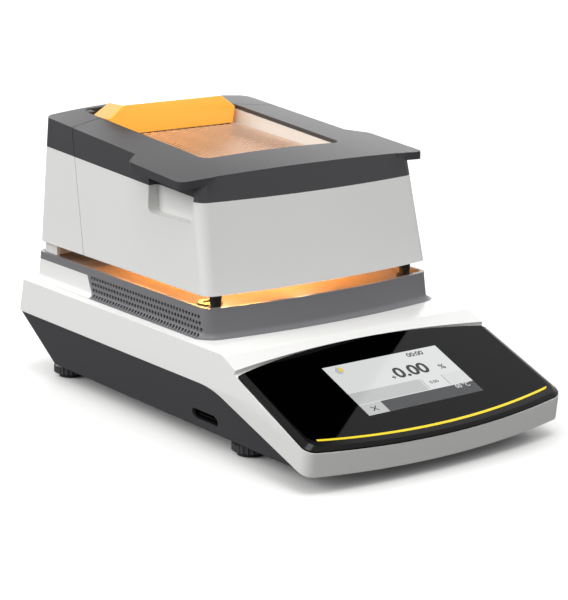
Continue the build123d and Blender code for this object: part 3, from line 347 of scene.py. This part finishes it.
class ANALYZER_OT_finishes(bpy.types.Operator):
    """Make every finish and give it to the CAD pieces by their slots"""

    bl_idname = "analyzer.finishes"
    bl_label = "Finishes"

    def execute(self, context):
        scene = context.scene
        housing, display, heater = scene.housing, scene.display_look, scene.heater
        made = {
            # ABS, moulded in a spark-eroded tool: even, soft satin with a barely visible grain
            "white_abs": moulded("abs_white_satin", tuple(housing.white), 0.42, coat=0.12),
            # The same plastic dyed near black: dark grey, a wider sheen
            "dark_abs": moulded("abs_dark_grained", tuple(housing.dark), 0.52),
            # The cover's and the collar's greys: the same satin, a little tighter in its shine
            "charcoal_abs": moulded("abs_charcoal_satin", tuple(housing.charcoal), 0.44),
            "grey_abs": moulded("abs_grey_satin", tuple(housing.grey), 0.40),
            # Glossy ABS frame: crisp reflections at the bevel
            "black_abs": moulded("abs_black_gloss", linear("#050505"), 0.14, pitch=3, depth=0.002,
                                 rough_spread=0.02, ior=1.3),
            # Back-printed float glass: deep black under one hard, mirror-like surface
            "black_glass": moulded("glass_back_printed", linear("#010101"), 0.02, pitch=40, depth=0.0,
                                   rough_spread=0.005, ior=1.22),
            # Screen printed line under clear lacquer: saturated, no texture, and a faint painted glow that
            # brightens it
            "yellow_line": lit("print_yellow_gloss_painted_glow", tuple(display.line), tuple(display.line), 0.06, 0.3),
            # Unlit liquid crystal panel: near black, satin
            "lcd": lit("display_backlit", linear("#101214"), linear("#101214"), 0.0),
            # Glass-fibre laminate under solder resist: green, glossy over the copper's relief
            "circuit_board": moulded("laminate_green_resist", linear("#14502c"), 0.35, pitch=2.0, depth=0.05,
                                     tone=0.4),
            # Cold rolled steel sheet: grey, faint lines along the rolling
            "steel": worked_metal("steel_rolled", linear("#b9b9bb"), 0.32, 0.8, (0.1, 1, 1)),
            # Acrylic vial over its dark socket: deep olive under a clear shine
            "vial": moulded("acrylic_green_clear", linear("#5c6138"), 0.1, pitch=20, depth=0.0),
            # Drawn aluminium: bright with soft broad reflections
            "aluminium": worked_metal("aluminium_drawn", linear("#d2d3d5"), 0.28, 1.6),
            # Silicone rubber: dull black
            "rubber": moulded("rubber_moulded", linear("#1d1d1e"), 0.78, pitch=0.7, depth=0.04),
            # Turned brass: warm, faint turning lines
            "brass": worked_metal("brass_turned", linear("#c9a24e"), 0.3, 0.6, (1, 1, 0.2)),
            # Painted sheet: pale and smooth, with the paint's slight waviness
            "pale_metal": moulded("sheet_pale_lacquered", linear("#e4e2dd"), 0.3, pitch=1.8, depth=0.03),
            # Tinted window: amber, with a painted glow, painted shade on its ends and a painted pale sheen on
            # its top
            "amber": self.amber(tuple(heater.amber)),
            # Quartz tube over a hot filament: bright orange from within
            "quartz": lit("quartz_hot", linear("#ffd9a0"), tuple(heater.glow), 2.5, 0.15),
            # Unglazed steatite: off-white, matt and slightly porous
            "ceramic": moulded("steatite_unglazed", linear("#d8d2c4"), 0.7, pitch=0.6, depth=0.05),
        }
        missing = sorted(set(SLOTS.values()) - set(made))
        if missing:
            raise RuntimeError(f"no finish for {missing}")
        for name, node in NODES.items():
            node.data.materials.clear()
            node.data.materials.append(made[SLOTS[name]])
        # Heat-blued steel: dark brown with a soft sheen, seen through the perforated sheet
        blued = worked_metal("steel_heat_blued", linear("#2e1f16"), 0.5, 1.2)
        # Enamelled steel floor of the chamber: warm grey and matt, so that it takes up the lamps' glow
        enamel = moulded("enamel_warm_grey", linear("#8f867b"), 0.75, ior=1.2)
        for name, finish in (("heat_reflector", blued), ("chamber_floor", enamel)):
            NODES[name].data.materials[0] = finish
        return {"FINISHED"}

    def amber(self, tint):
        """Cast tinted polycarbonate, deeper orange towards its bottom, with painted light: a painted glow on
        every face but the top, painted shade on its side-facing ends and a painted pale sheen along its top.
        """
        material, tree = new_material("polycarbonate_amber_painted_light")
        place = add(tree, "ShaderNodeTexCoord")
        noise = add(tree, "ShaderNodeTexNoise", ("Vector", place.outputs["Object"]), ("Scale", 1 / (30 * MM)))
        rough = add(tree, "ShaderNodeMapRange", ("Value", noise.outputs["Fac"]), ("To Min", 0.12),
                    ("To Max", 0.2))
        facing = add(tree, "ShaderNodeSeparateXYZ", ("Vector", place.outputs["Normal"]))
        top = add(tree, "ShaderNodeMapRange", ("Value", facing.outputs["Z"]), ("From Min", 0.72),
                  ("From Max", 0.98))
        point = add(tree, "ShaderNodeSeparateXYZ", ("Vector", place.outputs["Object"]))
        height = add(tree, "ShaderNodeMapRange", ("Value", point.outputs["Z"]), ("From Min", AMBER_LOW * MM),
                     ("From Max", AMBER_HIGH * MM))
        # Deeper orange towards the bottom of the window
        face = blend(tree, height.outputs[0], linear("#ffbe3a"), tint)
        # Painted shade: faces turned to the sides get a deeper orange
        sideways = add(tree, "ShaderNodeMath", (0, facing.outputs["X"]), operation="ABSOLUTE")
        painted_end_shade = add(tree, "ShaderNodeMapRange", ("Value", sideways.outputs[0]), ("From Min", 0.3),
                  ("From Max", 0.7))
        walls_with_painted_shade = blend(tree, painted_end_shade.outputs[0], face, linear("#f39a1c"))
        # Painted sheen: faces turned up get a pale cream
        tone = blend(tree, top.outputs[0], walls_with_painted_shade, linear("#d8bfa0"))
        # Painted glow: emission on every face but the top, standing in for the heater's light
        inner = add(tree, "ShaderNodeMapRange", ("Value", top.outputs[0]), ("To Min", 0.3), ("To Max", 0.0))
        shader = add(tree, "ShaderNodeBsdfPrincipled", ("Base Color", tone), ("Roughness", rough.outputs[0]),
                     ("IOR", 1.5), ("Transmission Weight", 0.1), ("Emission Color", linear("#ffb458")),
                     ("Emission Strength", inner.outputs[0]))
        add(tree, "ShaderNodeOutputMaterial", ("Surface", shader.outputs[0]))
        return material


class ANALYZER_OT_housings(bpy.types.Operator):
    """Round the moulded edges of the housings"""

    bl_idname = "analyzer.housings"
    bl_label = "Housings"

    def execute(self, context):
        for node, (body, share) in ROUNDED.items():
            rounded(node, body, context.scene.housing.edge * share)
        for side in (-1, 1):
            self.hinge_cap(side)
        return {"FINISHED"}

    def hinge_cap(self, side):
        """Small lid of the rear cover beside the hinge, level with the crowned top."""
        x0, x1 = sorted((side * CAP_INNER, side * CAP_OUTER))
        corners = (x0, CAP_FRONT), (x1, CAP_FRONT), (x1, CAP_REAR), (x0, CAP_REAR)
        points = [Vector((x, y, crown_z(x, y) - drop)) * MM for drop in (CAP_DROP, CAP_DROP + CAP_THICK)
                  for x, y in corners]
        sides = [(k, k + 4, (k + 1) % 4 + 4, (k + 1) % 4) for k in range(4)]
        mesh = bpy.data.meshes.new("hinge_cap")
        mesh.from_pydata(points, [], [(0, 1, 2, 3), (7, 6, 5, 4)] + sides)
        name = "hinge_cap_" + ("left" if side < 0 else "right")
        cap = link(name, mesh, [NODES["rear_cover"].data.materials[0]], "base")
        soft = cap.modifiers.new("soft edge", "BEVEL")
        soft.width, soft.segments = 0.3 * MM, 2


class ANALYZER_OT_display(bpy.types.Operator):
    """Draw what the lit display shows"""

    bl_idname = "analyzer.display"
    bl_label = "Display"

    def execute(self, context):
        look = context.scene.display_look
        w, h = look.width / MM, look.height / MM
        page = self.shown("display_page", tuple(look.screen), 0.84)
        grey = self.shown("display_grey", linear("#c3c4c4"), 0.9)
        pale = self.shown("display_pale_grey", linear("#dddede"), 0.9)
        dark = self.shown("display_dark_grey", linear("#3b3c3f"), 0.9)
        ink = self.shown("display_ink", linear("#1d1d1f"), 0.4)
        flame = self.shown("display_yellow", linear("#f1d660"), 0.9)
        left, right, low, high = -w / 2, w / 2, -h / 2, h / 2
        strip, band = low + 11.4, high - 30.2
        button = left + 17.5
        self.block("page", page, left, right, low, high, 0)
        self.block("band", grey, left, 10.8, strip + 0.7, band, 1)
        self.block("cell", pale, 31, right, strip + 0.7, band, 1)
        self.block("strip", dark, button, right, low, strip, 1)
        self.block("button", grey, left, button, low, strip, 1)
        for u in (11.9, 30.2):
            self.block(f"divider_{u:.0f}", ink, u, u + 0.35, strip + 1.5, band - 0.6, 2)
        self.polygon("flame_back", grey, ((-41, 18), (-37.5, 18), (-36, 21), (-39, 26), (-42.5, 21)), 1)
        self.polygon("flame_front", flame,
                     ((-38.5, 19.5), (-35.5, 20), (-35.2, 22.5), (-36.8, 25.5), (-38.8, 22.5)), 2)
        middle, half_way = (left + button) / 2, (low + strip) / 2
        for k, side in enumerate((-1, 1)):
            stroke = [(middle + side * a, half_way + b) for a, b in
                      ((-2.6, -2.1), (-2.0, -2.6), (2.6, 2.1), (2.0, 2.6))]
            self.polygon(f"cross_{k}", ink, stroke, 2 + k)
        self.figures("time", "00:00", ink, 20.4, 20.6, 3.4, 1.05, 0.04)
        self.figures("reading", "0.00", ink, -2.2, 2.2, 8.4, 1.12, 0.05)
        self.figures("sign", "+", ink, -7.0, 1.6, 3.6, 1.1, 0.04)
        self.figures("percent", "%", ink, 35.2, 2.4, 3.8, 1.1, 0.03)
        self.figures("step", "0.00", ink, 16.6, -9.9, 2.2, 1.1, 0.02)
        self.figures("heat", "00 °C", pale, 32.0, -19.8, 3.0, 0.95, 0.03)
        return {"FINISHED"}

    def shown(self, name, tone, strength):
        """A tone of the lit display behind bonded cover glass: even light under a hard shine."""
        return lit(name, linear("#050505"), tone, strength, 0.06)

    def polygon(self, name, material, points, layer):
        """A flat patch on the display; a higher layer lies over a lower one."""
        mesh = bpy.data.meshes.new("display_" + name)
        lift = PRINT_LIFT + LAYER_STEP * layer
        mesh.from_pydata([slope_point(u, v, lift) for u, v in points], [], [tuple(range(len(points)))])
        link("display_" + name, mesh, [material], "base")

    def block(self, name, material, u0, u1, v0, v1, layer):
        """A plain oblong from u0 to u1 and from v0 to v1."""
        self.polygon(name, material, ((u0, v0), (u1, v0), (u1, v1), (u0, v1)), layer)

    def figures(self, name, text, material, u, v, height, stretch, weight):
        """Figures of a height in millimetres; stretch widens them, and weight is a share of the height."""
        line = bpy.data.curves.new(name, "FONT")
        line.body = text
        line.size = height * MM / FIGURE_HEIGHT
        line.offset = weight * height * MM
        source = bpy.data.objects.new(name, line)
        bpy.context.scene.collection.objects.link(source)
        bpy.context.view_layer.update()
        mesh = bpy.data.meshes.new_from_object(source)
        bpy.data.objects.remove(source)
        turn = Matrix.Rotation(SLOPE, 4, "X") @ Matrix.Diagonal((stretch, 1, 1, 1))
        mesh.transform(Matrix.Translation(slope_point(u, v, FIGURE_LIFT)) @ turn)
        mesh.name = "display_" + name
        link("display_" + name, mesh, [material], "base")


class ANALYZER_OT_screen(bpy.types.Operator):
    """Build the fine perforated screen in the well"""

    bl_idname = "analyzer.screen"
    bl_label = "Well screen"

    def execute(self, context):
        pitch = context.scene.heater.hole_pitch
        low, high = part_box("vent_screen")
        work = bmesh.new()
        across = pitch * cos(radians(30))
        reach, hole = pitch / 3 ** 0.5, HOLE_SHARE * pitch
        columns = int((high.x - low.x - 2 * reach) / across)
        rows = int((high.y - low.y - 2 * pitch) / pitch)
        turns = [radians(30 * k) for k in range(12)]
        for i in range(columns + 1):
            x = (low.x + high.x) / 2 + (i - columns / 2) * across
            for j in range(rows + 1):
                y = (low.y + high.y) / 2 + (j - rows / 2 + (i % 2) / 2) * pitch
                inner = [self.corner(work, x, y, hole, t) for t in turns]
                outer = [self.corner(work, x, y, pitch / 2 if k % 2 else reach, t)
                         for k, t in enumerate(turns)]
                for k in range(12):
                    n = (k + 1) % 12
                    work.faces.new((outer[k], outer[n], inner[n], inner[k]))
        bmesh.ops.remove_doubles(work, verts=work.verts, dist=1e-5)
        mesh = bpy.data.meshes.new("well_screen")
        work.to_mesh(mesh)
        work.free()
        screen = link("well_screen", mesh, [self.steel_with_painted_glow()], "lid", ["vent_screen"])
        thick = screen.modifiers.new("sheet", "SOLIDIFY")
        thick.thickness = SHEET_THICK * MM
        thick.offset = -1
        return {"FINISHED"}

    def corner(self, work, x, y, far, turn):
        """A corner in the screen's sloping plane, some way from a hole's middle; all in metres."""
        x, y = x + far * cos(turn), y + far * sin(turn)
        return work.verts.new((x, y, SHEET_Z0 * MM + y * tan(SHEET_SLOPE)))

    def steel_with_painted_glow(self):
        """Perforated stainless sheet over hot lamps, with a painted glow in place of their light: peach at
        the left, paler towards the right.
        """
        material, tree = new_material("steel_perforated_painted_glow")
        place = add(tree, "ShaderNodeTexCoord")
        parts = add(tree, "ShaderNodeSeparateXYZ", ("Vector", place.outputs["Object"]))
        across = add(tree, "ShaderNodeMapRange", ("Value", parts.outputs["X"]), ("From Min", -WELL_HALF * MM),
                     ("From Max", WELL_HALF * MM))
        # Painted glow: emitted peach on the left, paler to the right
        tint = blend(tree, across.outputs[0], linear("#f4ae6c"), linear("#d9b9a4"))
        noise = add(tree, "ShaderNodeTexNoise", ("Vector", place.outputs["Object"]), ("Scale", 1 / (25 * MM)))
        rough = add(tree, "ShaderNodeMapRange", ("Value", noise.outputs["Fac"]), ("To Min", 0.35),
                    ("To Max", 0.5))
        shader = add(tree, "ShaderNodeBsdfPrincipled", ("Base Color", linear("#b8a596")), ("Metallic", 1.0),
                     ("Roughness", rough.outputs[0]), ("Emission Color", tint), ("Emission Strength", 0.5))
        add(tree, "ShaderNodeOutputMaterial", ("Surface", shader.outputs[0]))
        return material


class ANALYZER_OT_stage(bpy.types.Operator):
    """Set up the pale studio, its lights and the camera"""

    bl_idname = "analyzer.stage"
    bl_label = "Studio"

    def execute(self, context):
        scene = context.scene
        settings = scene.studio
        scene.view_settings.view_transform = "Standard"
        self.floor()
        self.world(settings.fill)
        for name, (side, height, spread, strength) in SKY_LIGHTS.items():
            self.sun(name, radians(side), radians(height), radians(spread), settings.key * strength)
        self.flag()
        camera = bpy.data.cameras.new("camera")
        camera.lens = settings.lens
        camera.sensor_fit = "VERTICAL"
        camera.sensor_width = camera.sensor_height = 36
        camera.clip_start, camera.clip_end = 0.01, 20
        eye = bpy.data.objects.new("camera", camera)
        scene.collection.objects.link(eye)
        eye.matrix_world = Matrix.Translation(EYE) @ Matrix(EYE_AXES).transposed().to_4x4()
        scene.camera = eye
        return {"FINISHED"}

    def sun(self, name, side, height, spread, strength):
        """A broad, even light; side turns it from the front towards the left."""
        lamp = bpy.data.lights.new(name, "SUN")
        lamp.energy, lamp.angle = strength, spread
        obj = bpy.data.objects.new(name, lamp)
        bpy.context.scene.collection.objects.link(obj)
        toward = Vector((-sin(side) * cos(height), -cos(side) * cos(height), sin(height)))
        obj.rotation_euler = toward.to_track_quat("Z", "Y").to_euler()

    def floor(self):
        """White paper to the camera, which keeps the shadow, and darker to every other ray."""
        mesh = bpy.data.meshes.new("floor")
        corners = [(x * FLOOR_HALF, y * FLOOR_HALF, 0) for x, y in ((-1, -1), (1, -1), (1, 1), (-1, 1))]
        mesh.from_pydata(corners, [], [(0, 1, 2, 3)])
        material, tree = new_material("floor_white_paper")
        path = add(tree, "ShaderNodeLightPath")
        tone = blend(tree, path.outputs["Is Camera Ray"], linear("#5c5c5b"), linear("#f6f6f5"))
        diffuse = add(tree, "ShaderNodeBsdfDiffuse", ("Color", tone))
        boost = add(tree, "ShaderNodeMath", (0, path.outputs["Is Camera Ray"]), (1, FLOOR_GLOW),
                    operation="MULTIPLY")
        glow = add(tree, "ShaderNodeEmission", ("Strength", boost.outputs[0]))
        both = add(tree, "ShaderNodeAddShader", (0, diffuse.outputs[0]), (1, glow.outputs[0]))
        add(tree, "ShaderNodeOutputMaterial", ("Surface", both.outputs[0]))
        mesh.materials.append(material)
        obj = bpy.data.objects.new("floor", mesh)
        bpy.context.scene.collection.objects.link(obj)

    def flag(self):
        """A black card that only shines see, for the dark half of the display glass."""
        mesh = bpy.data.meshes.new("studio_flag")
        mesh.from_pydata(FLAG_CORNERS, [], [(0, 1, 2, 3)])
        material, tree = new_material("card_black_matt")
        shader = add(tree, "ShaderNodeBsdfDiffuse", ("Color", linear("#020202")))
        add(tree, "ShaderNodeOutputMaterial", ("Surface", shader.outputs[0]))
        mesh.materials.append(material)
        card = bpy.data.objects.new("studio_flag", mesh)
        bpy.context.scene.collection.objects.link(card)
        card.visible_camera = card.visible_diffuse = card.visible_shadow = card.visible_transmission = False

    def world(self, fill):
        """White to the camera, in glossy and clear surfaces; for the rest a dome, brighter overhead."""
        world = bpy.data.worlds.new("studio")
        bpy.context.scene.world = world
        world.use_nodes = True
        tree = world.node_tree
        tree.nodes.clear()
        path = add(tree, "ShaderNodeLightPath")
        clear = add(tree, "ShaderNodeMath", (0, path.outputs["Is Camera Ray"]),
                    (1, path.outputs["Is Transmission Ray"]), operation="MAXIMUM")
        seen = add(tree, "ShaderNodeMath", (0, clear.outputs[0]), (1, path.outputs["Is Glossy Ray"]),
                   operation="MAXIMUM")
        ray = add(tree, "ShaderNodeTexCoord")
        parts = add(tree, "ShaderNodeSeparateXYZ", ("Vector", ray.outputs["Generated"]))
        dome = add(tree, "ShaderNodeMapRange", ("Value", parts.outputs["Z"]), ("From Min", 0.0),
                   ("From Max", 0.6), ("To Min", fill * HORIZON_SHARE), ("To Max", fill))
        strength = add(tree, "ShaderNodeMix", data_type="FLOAT")
        tree.links.new(seen.outputs[0], strength.inputs[0])
        tree.links.new(dome.outputs[0], strength.inputs[2])
        strength.inputs[3].default_value = 1.0
        back = add(tree, "ShaderNodeBackground", ("Color", (1, 1, 1, 1)), ("Strength", strength.outputs[0]))
        add(tree, "ShaderNodeOutputWorld", ("Surface", back.outputs[0]))


class ANALYZER_OT_heater_glow(bpy.types.Operator):
    """Light the chamber from the heater's two lamps"""

    bl_idname = "analyzer.heater_glow"
    bl_label = "Heater glow"

    def execute(self, context):
        heater = context.scene.heater
        low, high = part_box("heater_tubes")
        for x in (low.x * 0.6, high.x * 0.6):
            for y in (low.y * 0.7 + high.y * 0.3, low.y * 0.3 + high.y * 0.7):
                self.lamp((x, y, low.z - LAMP_DROP * MM), heater.power, tuple(heater.glow)[:3])
        for x, y, share in HOT_SPOTS:
            self.lamp((x * MM, y * MM, SPOT_Z * MM), heater.power * share, linear("#ffdcae")[:3])
        return {"FINISHED"}

    def lamp(self, place, power, tint):
        """One small hot source of light."""
        lamp = bpy.data.lights.new("lamp_light", "POINT")
        lamp.energy, lamp.color, lamp.shadow_soft_size = power, tint, LAMP_RADIUS * MM
        obj = bpy.data.objects.new("lamp_light", lamp)
        bpy.context.scene.collection.objects.link(obj)
        obj.location = place


class ANALYZER_PT_panel(bpy.types.Panel):
    """Lists the steps in the sidebar"""

    bl_idname = "ANALYZER_PT_panel"
    bl_label = "Moisture analyzer"
    bl_space_type = "VIEW_3D"
    bl_region_type = "UI"
    bl_category = "Analyzer"

    def draw(self, context):
        for step in STEPS:
            self.layout.operator(step.bl_idname)


GROUPS = {"housing": HousingSettings, "display_look": DisplaySettings, "heater": HeaterSettings,
          "studio": StageSettings}
STEPS = (ANALYZER_OT_finishes, ANALYZER_OT_housings, ANALYZER_OT_display, ANALYZER_OT_screen,
         ANALYZER_OT_heater_glow, ANALYZER_OT_stage)
CLASSES = tuple(GROUPS.values()) + STEPS + (ANALYZER_PT_panel,)


def register():
    """Adds the classes, and the settings to every scene."""
    for item in CLASSES:
        bpy.utils.register_class(item)
    for name, group in GROUPS.items():
        setattr(bpy.types.Scene, name, bpy.props.PointerProperty(type=group))


def unregister():
    """Takes the settings and the classes away again."""
    for name in GROUPS:
        delattr(bpy.types.Scene, name)
    for item in reversed(CLASSES):
        bpy.utils.unregister_class(item)


def main():
    """Runs every step."""
    register()
    for step in STEPS:
        family, name = step.bl_idname.split(".")
        getattr(getattr(bpy.ops, family), name)()
    bpy.context.view_layer.update()


if __name__ == "__main__":
    main()
